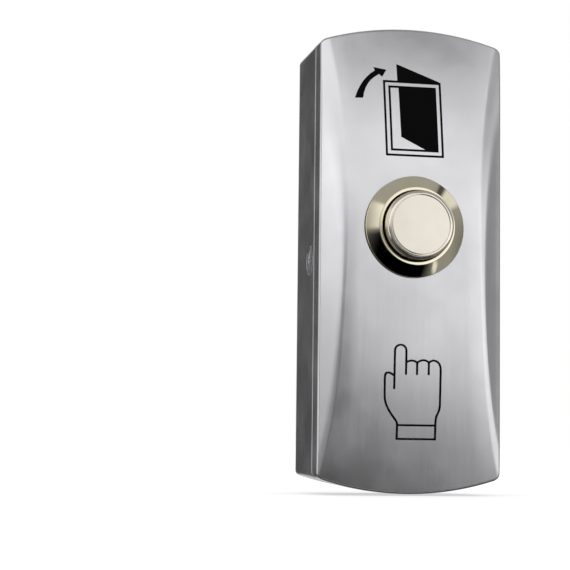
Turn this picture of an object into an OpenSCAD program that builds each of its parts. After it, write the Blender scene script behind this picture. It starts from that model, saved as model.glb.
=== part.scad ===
// Door exit button: a narrow die-cast housing with a metal push button in its front.
// Each piece is drawn flat on the wall, x across, y up the length and z out of the wall,
// and upright() then stands it up, so that the front faces -Y and the length is +Z.
// The origin is on the wall face, midway between the four wall holes.

/* [Housing] */
// Width of the housing at the open rim of the back box
body_w = 33.5; // [31:0.5:38]
// Length of the housing over its arched ends
body_len = 83; // [80:1:100]
// Rise of each arched end above its own corners
end_rise = 2.75; // [2:0.25:4]
// Radius of the four upright corners
corner_r = 1.4; // [1:0.1:2.4]
// Depth of the back box, from the wall to its rim
box_depth = 15.2; // [14.2:0.2:22]
// Wall thickness of both castings
wall_t = 1.8; // [1.5:0.1:2]
// How far the sides of the back box lean in from rim to wall
draft = 0.45; // [0.2:0.05:0.8]

/* [Wall side] */
// Distance between the wall holes across the width
wall_hole_w = 19; // [16:0.5:22]
// Distance between the wall holes along the length
wall_hole_len = 68; // [62:1:70]
// Radius of the wall holes
wall_hole_r = 1.8; // [1.5:0.1:2.2]
// Radius of the cable hole
cable_hole_r = 9; // [7:0.5:10]
// Height of the cable hole's centre, measured from mid-length
cable_hole_y = -5; // [-8:0.5:-3]
// Radius that rounds the rim of the cable hole on the wall side
cable_hole_round = 0.5; // [0.2:0.1:0.8]

/* [Front cover] */
// Height of the crowned face above the rim, at mid-length
crown_h = 6; // [5.6:0.1:7]
// Radius of the crown along the length
crown_r = 360; // [300:10:600]
// Height of the cover's long side walls
side_h = 4; // [3.6:0.1:4.4]
// Width of the scallop along each side, at mid-length
scallop_w = 3.8; // [3:0.1:4.5]
// Radius of the hollow of each scallop
scallop_r = 20; // [14:1:40]
// Thickness of the cover where the push button is clamped
panel_t = 1.85; // [1.6:0.05:2.1]

/* [Side screws] */
// Radius of the shank of a side screw
side_screw_r = 1.45; // [1.2:0.05:1.6]
// Radius of the countersunk head of a side screw
side_screw_head_r = 2.7; // [2.4:0.1:3]
// Distance of the side screws behind the rim
side_screw_back = 3.9; // [3.6:0.1:5]
// Thickness of the cover's screw lugs
lug_t = 3.2; // [2.6:0.1:3.6]
// Width of the cover's screw lugs along the length
lug_w = 8; // [7:0.5:12]

/* [Push button] */
// Height of the push button's centre, measured from mid-length
button_y = 5.5; // [4:0.5:8]
// Radius of the bezel
bezel_r = 9; // [8.8:0.1:9.6]
// Height of the bezel from its seat to the top of its ring
bezel_h = 1.85; // [1.5:0.05:2.4]
// Height of the upright edge round the bezel
bezel_edge = 0.35; // [0.2:0.05:0.6]
// Outer radius of the raised ring round the cap
ring_r = 6.95; // [6.8:0.05:7.2]
// Radius of the threaded barrel
barrel_r = 7.9; // [7.8:0.05:8.1]
// Room left between the terminal screws and the back of the box
back_room = 2.35; // [1:0.05:3]
// Radius of the cap's head
cap_r = 6.1; // [5.8:0.05:6.2]
// How far the cap stands out of the ring at rest
cap_rise = 2.5; // [2.2:0.1:3]
// Radius that rounds the edge of the cap
cap_round = 0.65; // [0.4:0.05:0.9]
// Width of the fine groove in the cap's top, just inside its rounded edge
cap_groove_w = 0.2; // [0.1:0.05:0.3]
// Travel of the cap when it is pressed
travel = 1.5; // [1:0.1:1.8]
// Thickness of the rubber gasket under the bezel
gasket_t = 0.4; // [0.3:0.1:0.6]
// Thickness of the toothed lock washer
washer_t = 0.6; // [0.4:0.1:0.8]
// Thickness of the lock nut
nut_t = 2.5; // [2:0.1:3]
// Width of the lock nut across its flats
nut_flats = 19; // [18.6:0.1:20]

/* [Switch] */
// Radius of the plunger's stem
stem_r = 1.8; // [1.5:0.1:2]
// Radius of the wire of the return spring
spring_wire_r = 0.25; // [0.2:0.01:0.3]
// Radius from the axis to the middle of the spring's wire
spring_r = 3.6; // [3.3:0.1:3.9]
// Number of turns of the return spring
spring_turns = 6.5; // [5.5:1:7.5]
// Thickness of the sheet brass of the contacts
brass_t = 0.4; // [0.3:0.05:0.5]
// Distance of each contact point from the axis
contact_x = 4; // [3.8:0.1:4.2]
// Radius of the silver contact points
tip_r = 0.8; // [0.6:0.05:0.9]
// Distance of each terminal screw from the axis
terminal_x = 3.2; // [3:0.1:3.5]
// Radius of the head of a terminal screw
terminal_head_r = 2; // [1.8:0.1:2.1]

/* [Signs] */
// Width of the lines of both signs
line_w = 0.36; // [0.25:0.01:0.45]
// Thickness of the printed ink
ink_t = 0.08; // [0.05:0.01:0.12]
// Height of the door sign's frame, as a share of the face above the bezel
door_share = 0.507; // [0.42:0.01:0.55]
// Place of the door sign on that face, from the bezel at 0 to the upper end at 1
door_place = 0.389; // [0.34:0.01:0.44]
// Width of the outer frame of the door sign
door_w = 10.7; // [9:0.1:12]
// Gap from the outer to the inner frame of the door sign
door_gap = 0.95; // [0.8:0.05:1.2]
// Sideways lean of the door sign for each millimetre of height
sign_lean = 0.03; // [0:0.01:0.06]
// Height of the hand sign, as a share of the face below the bezel
hand_share = 0.434; // [0.36:0.01:0.5]
// Place of the hand sign on that face, from the bezel at 0 to the lower end at 1
hand_place = 0.539; // [0.48:0.01:0.6]

/* [Hidden] */
$fn = 96;

// Clearances and small overlaps of cuts
slide_gap = 0.1;
seat_gap = 0.3;
cut = 1;

// Outline of the housing: the arched ends are arcs about points on the centre line
half_w = body_w / 2;
end_r = (half_w * half_w + end_rise * end_rise) / (2 * end_rise);
end_centre_y = body_len / 2 - end_r;
inner_corner_r = 0.8;

// Levels of the castings, measured from the wall
rim_z = box_depth;
crown_z = rim_z + crown_h;

// The scallop's hollow passes through the top of the side wall and the edge of the face
scallop_drop = crown_h - side_h;
scallop_chord = norm([scallop_w, scallop_drop]);
scallop_reach = sqrt(scallop_r * scallop_r - scallop_chord * scallop_chord / 4);
scallop_x = half_w - scallop_w / 2 + scallop_reach * scallop_drop / scallop_chord;
scallop_z = rim_z + (side_h + crown_h) / 2 + scallop_reach * scallop_w / scallop_chord;

// Side screws, their holes and the cover's lugs
side_screw_z = rim_z - side_screw_back;
side_face_x = half_w - draft * side_screw_back / box_depth;
side_screw_sink = 0.1;
side_head_t = 1.2;
lug_x = side_face_x - wall_t - seat_gap;
lug_drop = side_screw_back + 2.2;
side_screw_end_x = lug_x - lug_t - 0.4;

// Seat of the push button: a shallow flat sunk just below the crown
spot_r = bezel_r + 0.15;
seat_z = rim_z + face_h(button_y + spot_r) - 0.05;
pad_r = 10.5;
pad_z = seat_z - panel_t;
panel_hole_r = barrel_r + slide_gap;

// Levels of the bezel, the cap and the plunger
flange_z = seat_z + gasket_t;
bezel_top_z = flange_z + bezel_h;
cap_top_z = bezel_top_z + cap_rise;
shoulder_z = flange_z + 0.35;
bore_r = cap_r + 0.25;
cap_flange_r = cap_r + 0.85;
cap_flange_t = 1;
counterbore_r = cap_flange_r + slide_gap;
cap_wall = 0.9;
cap_hollow_r = cap_r - cap_wall;
cap_hollow_z = cap_top_z - 1.6;
cap_groove_r = cap_r - cap_round - cap_groove_w;
plunger_r = cap_hollow_r - slide_gap / 2;
plunger_end_z = shoulder_z - cap_flange_t;
spring_top_z = plunger_end_z + 1.6;

// Levels of the switch, stacked up from the back of the box
terminal_head_t = 1.4;
clamp_t = 0.6;
screw_end_z = wall_t + back_room;
base_end_z = screw_end_z + terminal_head_t + clamp_t + brass_t;
base_boss_t = 2.4;
base_z = base_end_z + base_boss_t;
base_t = 1.2;
base_top_z = base_z + base_t;
ring_wire_t = 0.6;
snap_z = base_z - ring_wire_t;
barrel_end_z = snap_z - 0.6;
fixed_tip_t = 0.2;
fixed_tip_z = base_top_z + brass_t;
open_gap = 0.05;
tip_t = 0.4;
moving_tip_z = fixed_tip_z + fixed_tip_t + travel + open_gap;
bridge_z = moving_tip_z + tip_t;
bridge_top_z = bridge_z + brass_t;
floor_z = bridge_top_z + 0.1;
floor_t = 1.4;
floor_top_z = floor_z + floor_t;

// Radii of the switch
base_r = counterbore_r - slide_gap / 2;
snap_groove_r = counterbore_r + 0.4;
base_boss_r = 6.1;
skirt_t = 1.1;
neck_r = stem_r - 0.55;
groove_r = neck_r - 0.25;
strip_w = 3;
leg_x = base_boss_r - 0.9;
terminal_shank_r = 1.1;
nut_r = nut_flats / 2 / cos(30);

// Faces above and below the bezel, and the signs printed on them
upper_face = body_len / 2 - button_y - bezel_r;
lower_face = body_len / 2 + button_y - bezel_r;
door_sign_y = button_y + bezel_r + door_place * upper_face;
door_h = door_share * upper_face;
hand_sign_y = button_y - bezel_r - hand_place * lower_face;
hand_h = hand_share * lower_face;

// Height of the crowned face above the rim at a distance from mid-length
function face_h(y) = crown_h - crown_r + sqrt(crown_r * crown_r - y * y);

// A bend from a to c that leans towards b
function bend(a, b, c, steps = 6) = [
    for (i = [0:steps])
        let (t = i / steps)
        (1 - t) * (1 - t) * a + 2 * t * (1 - t) * b + t * t * c
];

// A half circle over the top, from the left end to the right end
function top_arc(centre, r, steps = 10) = [
    for (i = [0:steps])
        let (a = 180 - 180 * i / steps)
        centre + r * [cos(a), sin(a)]
];

// Direction of a path at one of its points
function heading(path, i) =
    let (v = path[min(i + 1, len(path) - 1)] - path[max(i - 1, 0)])
    v / norm(v);

// The path moved sideways, to its left when offset is positive
function beside(path, offset) = [
    for (i = [0:len(path) - 1])
        let (d = heading(path, i))
        path[i] + offset * [-d[1], d[0]]
];

function backwards(path) = [for (i = [len(path) - 1:-1:0]) path[i]];

// Points of the door sign lean sideways with their height
function lean(path) = [for (p = path) [p[0] - sign_lean * p[1], p[1]]];

// Stands a piece up: its z, out of the wall, becomes -Y and its y becomes Z
module upright() {
    rotate([90, 0, 0]) children();
}

// Repeats a piece on the left and on the right
module both_sides() {
    children();
    mirror([1, 0, 0]) children();
}

// Repeats a piece at the upper and at the lower end
module both_ends() {
    children();
    mirror([0, 1, 0]) children();
}

// What lies outside the arched end of an outline
module end_waste(z0, z1, inset, lean_in) {
    top_r = end_r - inset;
    height = z1 - z0;
    spread = cut * lean_in / height;
    depth = 4 * end_rise;
    translate([0, 0, z0 - cut]) difference() {
        translate([-body_w, body_len / 2 - depth, 0]) cube([2 * body_w, depth + 2 * cut, height + 2 * cut]);
        translate([0, end_centre_y, 0])
            cylinder(h = height + 2 * cut, r1 = top_r - lean_in - spread, r2 = top_r + spread, $fn = 360);
    }
}

// What lies outside the round corner of an outline: a wedge less the corner's own round,
// which stands a hair proud of both sides, so that its faces cross theirs cleanly
module corner_waste(z0, z1, inset, r0, r1) {
    centre_x = half_w - inset - r1;
    reach = end_r - inset - r1;
    centre_y = end_centre_y + sqrt(reach * reach - centre_x * centre_x);
    outward = [centre_x, centre_y - end_centre_y] / reach;
    far = 4 * r1;
    height = z1 - z0;
    spread = cut * (r1 - r0) / height;
    proud = 0.01;
    translate([centre_x, centre_y, z0 - cut]) difference() {
        linear_extrude(height + 2 * cut) polygon([[0, 0], [far, 0], [far, far], outward * far]);
        cylinder(h = height + 2 * cut, r1 = r0 + proud - spread, r2 = r1 + proud + spread);
    }
}

// A block with the housing's outline, inset all round, with sides that lean in towards z0
module outline_block(z0, z1, inset, lean_in, r) {
    top_w = half_w - inset;
    low_w = top_w - lean_in;
    difference() {
        rotate([90, 0, 0]) linear_extrude(body_len + 2 * cut, center = true)
            polygon([[-low_w, z0], [low_w, z0], [top_w, z1], [-top_w, z1]]);
        both_ends() {
            end_waste(z0, z1, inset, lean_in);
            both_sides() corner_waste(z0, z1, inset, r - lean_in, r);
        }
    }
}

// A long bar under the crowned face, thinner is how far its top lies below the face
module crown_bar(width, thinner = 0) {
    translate([0, 0, crown_z - crown_r]) rotate([0, 90, 0])
        cylinder(h = width, r = crown_r - thinner, center = true, $fn = 720);
}

// The form of the front cover, and of its hollow when inset is the wall
module cover_form(z0, inset, r) {
    difference() {
        intersection() {
            outline_block(z0, crown_z + cut, inset, 0, r);
            crown_bar(body_w + 2 * cut, inset);
        }
        both_sides() translate([scallop_x, 0, scallop_z]) rotate([90, 0, 0])
            cylinder(h = body_len + 2 * cut, r = scallop_r + inset, center = true, $fn = 180);
    }
}

// A ring that takes the sharp rim off a hole of radius r, rounding it by f
module hole_round(r, f) {
    rotate_extrude() difference() {
        translate([r - cut, -cut]) square([f + cut, f + cut]);
        translate([r + f, f]) circle(f);
        translate([r - 2 * cut, f]) square([2 * cut, cut]);
    }
}

// Shared axis of everything in the push button
module on_button_axis() {
    upright() translate([0, button_y, 0]) children();
}

// A turned piece from its half section, points are [radius, height]
module turned(section) {
    rotate_extrude() polygon(section);
}

// A flat tube
module ring(z, height, outer_r, inner_r) {
    translate([0, 0, z]) difference() {
        cylinder(h = height, r = outer_r);
        translate([0, 0, -cut]) cylinder(h = height + 2 * cut, r = inner_r);
    }
}

// Back box: an open die-cast tray with drafted walls
module back_box() {
    color([0.72, 0.72, 0.74]) upright() difference() {
        outline_block(0, rim_z, 0, draft, corner_r);
        outline_block(wall_t, rim_z + cut, wall_t, draft, inner_corner_r);
        both_ends() both_sides() translate([wall_hole_w / 2, wall_hole_len / 2, -cut])
            cylinder(h = wall_t + 2 * cut, r = wall_hole_r);
        translate([0, cable_hole_y, 0]) {
            translate([0, 0, -cut]) cylinder(h = wall_t + 2 * cut, r = cable_hole_r);
            hole_round(cable_hole_r, cable_hole_round);
        }
        both_sides() side_screw_cut();
    }
}

// Countersunk hole for a side screw, through the right wall of the back box
module side_screw_cut() {
    translate([side_face_x, 0, side_screw_z]) rotate([0, 90, 0]) {
        translate([0, 0, -wall_t - cut])
            cylinder(h = wall_t + 2 * cut, r = side_screw_r + slide_gap);
        translate([0, 0, -side_screw_sink - side_head_t])
            cylinder(h = side_head_t, r1 = side_screw_r + slide_gap, r2 = side_screw_head_r + slide_gap);
        translate([0, 0, -side_screw_sink]) cylinder(h = cut, r = side_screw_head_r + slide_gap);
    }
}

// Front cover: a crowned die-cast shell with scalloped sides, a clamping pad and two lugs
module front_cover() {
    color([0.78, 0.78, 0.8]) upright() difference() {
        union() {
            difference() {
                cover_form(rim_z, 0, corner_r);
                cover_form(rim_z - cut, wall_t, inner_corner_r);
            }
            translate([0, button_y, pad_z]) cylinder(h = crown_z - wall_t / 2 - pad_z, r = pad_r);
            both_sides() screw_lug();
        }
        translate([0, button_y, seat_z]) cylinder(h = crown_h, r = spot_r);
        translate([0, button_y, rim_z]) cylinder(h = crown_h, r = panel_hole_r);
        both_sides() translate([0, 0, side_screw_z]) rotate([0, 90, 0])
            cylinder(h = half_w, r = side_screw_r + slide_gap / 2);
    }
}

// Lug of the front cover, which hangs down inside the right wall of the back box and leaves
// the lock nut room to turn
module screw_lug() {
    difference() {
        union() {
            translate([lug_x - lug_t, -lug_w / 2, rim_z - lug_drop])
                cube([lug_t, lug_w, lug_drop + side_h / 2]);
            intersection() {
                cover_form(rim_z, wall_t / 2, inner_corner_r);
                translate([lug_x - lug_t, -lug_w / 2, rim_z]) cube([lug_t, lug_w, crown_h]);
            }
        }
        translate([0, button_y, 0]) cylinder(h = crown_z, r = nut_r + seat_gap);
    }
}

// The two countersunk screws that hold the cover by its lugs
module side_screws() {
    color([0.6, 0.6, 0.62]) upright() both_sides() difference() {
        translate([side_screw_end_x, 0, side_screw_z]) rotate([0, 90, 0]) {
            cylinder(h = side_face_x - side_screw_sink - side_screw_end_x, r = side_screw_r);
            translate([0, 0, side_face_x - side_screw_sink - side_head_t - side_screw_end_x])
                cylinder(h = side_head_t, r1 = side_screw_r, r2 = side_screw_head_r);
        }
        cross_slot();
    }
}

// Cross slot in the head of the right side screw
module cross_slot() {
    slot_w = 0.6;
    slot_len = 2.8;
    slot_t = 0.8;
    translate([side_face_x - side_screw_sink - slot_t, 0, side_screw_z]) {
        translate([0, -slot_len / 2, -slot_w / 2]) cube([cut + slot_t, slot_len, slot_w]);
        translate([0, -slot_w / 2, -slot_len / 2]) cube([cut + slot_t, slot_w, slot_len]);
    }
}

// Bezel and threaded barrel, turned as one piece
module button_bezel() {
    chamfer = 0.12;
    color([0.8, 0.76, 0.7]) on_button_axis() turned([
        [bezel_r, flange_z],
        [bezel_r, flange_z + bezel_edge],
        [ring_r, bezel_top_z - chamfer],
        [ring_r - chamfer, bezel_top_z],
        [bore_r + chamfer, bezel_top_z],
        [bore_r, bezel_top_z - chamfer],
        [bore_r, shoulder_z],
        [counterbore_r, shoulder_z],
        [counterbore_r, base_z],
        [snap_groove_r, base_z],
        [snap_groove_r, snap_z],
        [counterbore_r, snap_z],
        [counterbore_r, barrel_end_z],
        [barrel_r, barrel_end_z],
        [barrel_r, flange_z]
    ]);
}

// Rubber gasket between the bezel and the cover
module bezel_gasket() {
    color([0.1, 0.1, 0.1]) on_button_axis()
        ring(seat_z, gasket_t, bezel_r - 0.5, barrel_r + slide_gap);
}

// Lock washer with teeth round its outer edge
module lock_washer() {
    teeth = 16;
    washer_r = nut_flats / 2;
    color([0.65, 0.65, 0.66]) on_button_axis() difference() {
        ring(pad_z - washer_t, washer_t, washer_r, barrel_r + slide_gap);
        for (i = [0:teeth - 1]) rotate(i * 360 / teeth)
            translate([washer_r, 0, pad_z - washer_t - cut]) cylinder(h = washer_t + 2 * cut, r = 0.6);
    }
}

// Hexagonal lock nut with its corners turned off
module lock_nut() {
    nut_z = pad_z - washer_t - nut_t;
    color([0.75, 0.72, 0.66]) on_button_axis() difference() {
        intersection() {
            translate([0, 0, nut_z]) rotate(30) cylinder(h = nut_t, r = nut_r, $fn = 6);
            translate([0, 0, nut_z]) cylinder(h = nut_t, r1 = nut_flats / 2, r2 = nut_flats / 2 + nut_t * 1.8);
        }
        translate([0, 0, nut_z - cut]) cylinder(h = nut_t + 2 * cut, r = barrel_r + slide_gap);
    }
}

// Turned metal cap, hollow below, with a fine groove on top and the flange that stops it
// under the ring
module button_cap() {
    edge = [for (i = [0:8]) [
        cap_r - cap_round + cap_round * cos(i * 90 / 8),
        cap_top_z - cap_round + cap_round * sin(i * 90 / 8)
    ]];
    groove = [
        [cap_groove_r + cap_groove_w / 2, cap_top_z],
        [cap_groove_r, cap_top_z - cap_groove_w / 2],
        [cap_groove_r - cap_groove_w / 2, cap_top_z]
    ];
    color([0.88, 0.84, 0.78]) on_button_axis() turned(concat(
        [[0, cap_hollow_z], [cap_hollow_r, cap_hollow_z], [cap_hollow_r, plunger_end_z]],
        [[cap_flange_r, plunger_end_z], [cap_flange_r, shoulder_z], [cap_r, shoulder_z]],
        edge,
        groove,
        [[0, cap_top_z]]
    ));
}

// Plastic plunger in the cap, with the stem that carries the contact bridge
module plunger() {
    recess_out = spring_r + spring_wire_r + 0.25;
    recess_in = spring_r - spring_wire_r - 0.25;
    stem_end_z = moving_tip_z - 0.35;
    color([0.15, 0.15, 0.16]) on_button_axis() turned([
        [0, cap_hollow_z],
        [0, stem_end_z],
        [neck_r, stem_end_z],
        [neck_r, moving_tip_z],
        [groove_r, moving_tip_z],
        [groove_r, bridge_z],
        [neck_r, bridge_z],
        [neck_r, bridge_top_z],
        [stem_r, bridge_top_z],
        [stem_r, plunger_end_z],
        [recess_in, plunger_end_z],
        [recess_in, spring_top_z],
        [recess_out, spring_top_z],
        [recess_out, plunger_end_z],
        [plunger_r, plunger_end_z],
        [plunger_r, cap_hollow_z]
    ]);
}

// Clip that holds the contact bridge on the stem, open on one side
module plunger_clip() {
    clip_r = neck_r + 0.9;
    color([0.5, 0.5, 0.52]) on_button_axis() difference() {
        ring(moving_tip_z, tip_t, clip_r, groove_r + slide_gap / 2);
        translate([-groove_r, 0, moving_tip_z - cut]) cube([2 * groove_r, clip_r + cut, tip_t + 2 * cut]);
    }
}

// Return spring between the switch body and the plunger, with closed ends
module return_spring() {
    sides = 8;
    steps_per_turn = 18;
    steps = round(spring_turns * steps_per_turn);
    closed_turns = 0.9;
    closed_pitch = 2.08 * spring_wire_r;
    height = spring_top_z - floor_top_z - 2 * spring_wire_r;
    open_pitch = (height - 2 * closed_turns * closed_pitch) / (spring_turns - 2 * closed_turns);
    function wire_z(t) = floor_top_z + spring_wire_r + (
        t < closed_turns ? t * closed_pitch
        : t > spring_turns - closed_turns ? height - (spring_turns - t) * closed_pitch
        : closed_turns * closed_pitch + (t - closed_turns) * open_pitch
    );
    rings = [for (i = [0:steps], k = [0:sides - 1])
        let (t = i / steps_per_turn, a = 360 * k / sides, r = spring_r + spring_wire_r * cos(a))
        [r * cos(360 * t), r * sin(360 * t), wire_z(t) + spring_wire_r * sin(a)]
    ];
    skin = [for (i = [0:steps - 1], k = [0:sides - 1])
        [i * sides + k, i * sides + (k + 1) % sides, (i + 1) * sides + (k + 1) % sides, (i + 1) * sides + k]
    ];
    ends = [
        [for (k = [sides - 1:-1:0]) k],
        [for (k = [0:sides - 1]) steps * sides + k]
    ];
    color([0.7, 0.7, 0.72]) on_button_axis() polyhedron(rings, concat(skin, ends), convexity = 10);
}

// Plastic body in the barrel: a floor that guides the stem, on a skirt round the contacts
module switch_body() {
    color([0.12, 0.12, 0.13]) on_button_axis() turned([
        [stem_r + slide_gap, floor_z],
        [base_r - skirt_t, floor_z],
        [base_r - skirt_t, base_top_z],
        [base_r, base_top_z],
        [base_r, floor_top_z],
        [stem_r + slide_gap, floor_top_z]
    ]);
}

// Moving contact: a brass strip held on the stem
module contact_bridge() {
    color([0.8, 0.62, 0.3]) on_button_axis() difference() {
        intersection() {
            translate([-base_r, -strip_w / 2, bridge_z]) cube([2 * base_r, strip_w, brass_t]);
            translate([0, 0, bridge_z]) cylinder(h = brass_t, r = base_r - skirt_t - seat_gap);
        }
        translate([0, 0, bridge_z - cut]) cylinder(h = brass_t + 2 * cut, r = neck_r + slide_gap / 2);
    }
}

// Silver points under the moving contact
module bridge_tips() {
    color([0.9, 0.9, 0.88]) on_button_axis() both_sides()
        translate([contact_x, 0, moving_tip_z]) cylinder(h = tip_t, r = tip_r);
}

// Plastic base that closes the barrel and carries both terminals
module terminal_base() {
    color([0.12, 0.12, 0.13]) on_button_axis() difference() {
        union() {
            translate([0, 0, base_z]) cylinder(h = base_t, r = base_r);
            translate([0, 0, base_end_z]) cylinder(h = base_boss_t, r = base_boss_r);
        }
        both_sides() {
            translate([leg_x - slide_gap / 2, -strip_w / 2 - slide_gap / 2, base_end_z - cut])
                cube([brass_t + slide_gap, strip_w + slide_gap, base_t + base_boss_t + 2 * cut]);
            translate([terminal_x, 0, base_end_z - cut])
                cylinder(h = base_boss_t + cut, r = terminal_shank_r + slide_gap / 2);
        }
    }
}

// Open wire ring in the barrel's groove, which keeps the base in
module base_snap_ring() {
    snap_gap = 5;
    color([0.6, 0.6, 0.62]) on_button_axis() difference() {
        ring(snap_z, ring_wire_t, snap_groove_r - slide_gap, base_boss_r + slide_gap);
        translate([-snap_gap / 2, 0, snap_z - cut]) cube([snap_gap, snap_groove_r + cut, ring_wire_t + 2 * cut]);
    }
}

// Right-hand terminal: a strip over the base, a leg through it and a pad behind it
module terminal() {
    inner_x = contact_x - tip_r - 0.4;
    pad_x = terminal_x - terminal_head_r;
    difference() {
        union() {
            translate([inner_x, -strip_w / 2, base_top_z]) cube([leg_x + brass_t - inner_x, strip_w, brass_t]);
            translate([leg_x, -strip_w / 2, base_end_z - brass_t])
                cube([brass_t, strip_w, fixed_tip_z - base_end_z + brass_t]);
            translate([pad_x, -strip_w / 2, base_end_z - brass_t]) cube([leg_x + brass_t - pad_x, strip_w, brass_t]);
        }
        translate([terminal_x, 0, base_end_z - brass_t - cut])
            cylinder(h = brass_t + 2 * cut, r = terminal_shank_r + slide_gap / 2);
    }
}

module right_terminal() {
    color([0.82, 0.65, 0.32]) on_button_axis() terminal();
}

module left_terminal() {
    color([0.82, 0.65, 0.32]) on_button_axis() mirror([1, 0, 0]) terminal();
}

// Silver points on the two terminals
module fixed_tips() {
    color([0.9, 0.9, 0.88]) on_button_axis() both_sides()
        translate([contact_x, 0, fixed_tip_z]) cylinder(h = fixed_tip_t, r = tip_r);
}

// Square washers that clamp a wire on each terminal
module clamp_washers() {
    clamp_w = 2 * terminal_head_r;
    clamp_z = base_end_z - brass_t - clamp_t;
    color([0.7, 0.7, 0.7]) on_button_axis() both_sides() difference() {
        translate([terminal_x - clamp_w / 2, -clamp_w / 2, clamp_z]) cube([clamp_w, clamp_w, clamp_t]);
        translate([terminal_x, 0, clamp_z - cut])
            cylinder(h = clamp_t + 2 * cut, r = terminal_shank_r + slide_gap / 2);
    }
}

// Screws of the two terminals, with slotted heads
module terminal_screws() {
    slot_w = 0.6;
    slot_t = 0.6;
    screw_len = base_z - screw_end_z - seat_gap;
    color([0.72, 0.7, 0.66]) on_button_axis() both_sides()
        translate([terminal_x, 0, screw_end_z]) difference() {
            union() {
                cylinder(h = terminal_head_t, r = terminal_head_r);
                cylinder(h = screw_len, r = terminal_shank_r);
            }
            translate([-terminal_head_r - cut, -slot_w / 2, -cut])
                cube([2 * (terminal_head_r + cut), slot_w, slot_t + cut]);
        }
}

// Ink on the crowned face, in the outline that its children draw
module printed() {
    sign_span = 2 * half_w - 2 * scallop_w;
    color([0.05, 0.05, 0.06]) upright() intersection() {
        translate([0, 0, rim_z]) linear_extrude(crown_h + cut) children();
        difference() {
            crown_bar(sign_span, -ink_t);
            crown_bar(sign_span + cut);
        }
    }
}

// A line of the ink's width along a path
module stroke(path) {
    polygon(concat(beside(path, line_w / 2), backwards(beside(path, -line_w / 2))));
}

// The four corners of a door frame, smaller than the outer frame by inset
function frame_corners(inset) = lean([
    [-door_w / 2 + inset, -door_h / 2 + inset],
    [door_w / 2 - inset, -door_h / 2 + inset],
    [door_w / 2 - inset, door_h / 2 - inset],
    [-door_w / 2 + inset, door_h / 2 - inset]
]);

// A frame line, whose outer edge is inset from the outer frame
module frame_line(inset) {
    difference() {
        polygon(frame_corners(inset));
        polygon(frame_corners(inset + line_w));
    }
}

// Points of the door sign, given as shares of the outer frame's width and height
function on_door(path) = lean([for (p = path) [p[0] * door_w, p[1] * door_h]]);

// The open door leaf: its swung corner above the frame and its face within the frame,
// both ending in the middle of the frame's lines
module door_leaf() {
    polygon(on_door([[-0.25, 0.487], [0.483, 0.487], [0.483, 0.505], [-0.252, 0.723]]));
    intersection() {
        polygon(frame_corners(door_gap + line_w / 2));
        polygon(on_door([[-0.238, 0.52], [0.52, 0.52], [0.52, -0.534], [-0.224, -0.245]]));
    }
}

// The arrow that shows which way the door swings
module swing_arrow() {
    tail = [-0.995, 0.245];
    polygon(on_door(concat(
        bend(tail, [-0.879, 0.504], [-0.631, 0.624]),
        [[-0.654, 0.664], [-0.435, 0.639], [-0.509, 0.544]],
        bend([-0.561, 0.577], [-0.813, 0.475], tail + [0.14, 0.004])
    )));
}

// Door sign: two frame lines, the open leaf and the arrow
module door_sign() {
    printed() translate([0, door_sign_y]) {
        frame_line(0);
        frame_line(door_gap);
        door_leaf();
        swing_arrow();
    }
}

// A line of the hand sign, through points given as shares of the sign's height
module hand_line(path) {
    stroke([for (p = path) p * hand_h]);
}

// Hand sign: a closed hand with its first finger raised, on a cuff
module hand_sign() {
    finger = [-0.2, -0.073];
    knuckles = [[-0.073, 0.339], [0.049, 0.337], [0.179, 0.34]];
    palm = 0.312;
    cuff = [[-0.158, -0.476], [0.267, -0.33]];
    printed() translate([0, hand_sign_y]) {
        hand_line(concat(
            [[finger[0], 0.052]],
            top_arc([(finger[0] + finger[1]) / 2, 0.461], (finger[1] - finger[0]) / 2),
            [[finger[1], 0.206]]
        ));
        hand_line(concat(
            bend([finger[0], 0.194], [-0.249, 0.227], [-0.264, 0.226], 4),
            bend([-0.285, 0.224], [-0.306, 0.218], [-0.306, 0.164], 5),
            bend([-0.303, -0.03], [-0.297, -0.127], [-0.206, -0.239], 6),
            bend([-0.188, -0.261], [cuff[0][0], -0.294], [cuff[0][0], cuff[1][1]], 4)
        ));
        hand_line(bend(knuckles[0], [-0.006, 0.379], knuckles[1]));
        hand_line(bend(knuckles[1], [0.121, 0.391], knuckles[2]));
        hand_line(concat(
            bend(knuckles[2], [0.212, 0.367], [0.239, 0.362], 4),
            bend([0.255, 0.358], [palm, 0.339], [palm, 0.255], 7),
            bend([palm, -0.109], [0.309, -0.176], [0.282, -0.218], 5),
            bend([0.279, -0.224], [cuff[1][0], -0.255], cuff[1], 4)
        ));
        for (i = [1, 2]) hand_line([knuckles[i], [knuckles[i][0], 0.206]]);
        translate(cuff[0] * hand_h) cuff_frame((cuff[1] - cuff[0]) * hand_h);
    }
}

// Rectangle of lines from the origin to its far corner, drawn on the middle of the lines
module cuff_frame(size) {
    difference() {
        translate([-line_w / 2, -line_w / 2]) square([size[0] + line_w, size[1] + line_w]);
        translate([line_w / 2, line_w / 2]) square([size[0] - line_w, size[1] - line_w]);
    }
}

back_box();
front_cover();
side_screws();
button_bezel();
bezel_gasket();
lock_washer();
lock_nut();
button_cap();
plunger();
plunger_clip();
return_spring();
switch_body();
contact_bridge();
bridge_tips();
terminal_base();
base_snap_ring();
left_terminal();
right_terminal();
fixed_tips();
clamp_washers();
terminal_screws();
door_sign();
hand_sign();
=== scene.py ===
# %% [markdown]
# # A door exit button, dressed for the camera
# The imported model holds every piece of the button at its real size, and this script gives the
# pieces their finish: satin zinc castings, a polished nickel push button, printed signs.
# Each cell below makes one piece or one finish, and says why it is made that way.

# %% Load the frame
import math

import bmesh
import bpy
import numpy as np
from mathutils import Matrix, Vector


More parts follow.
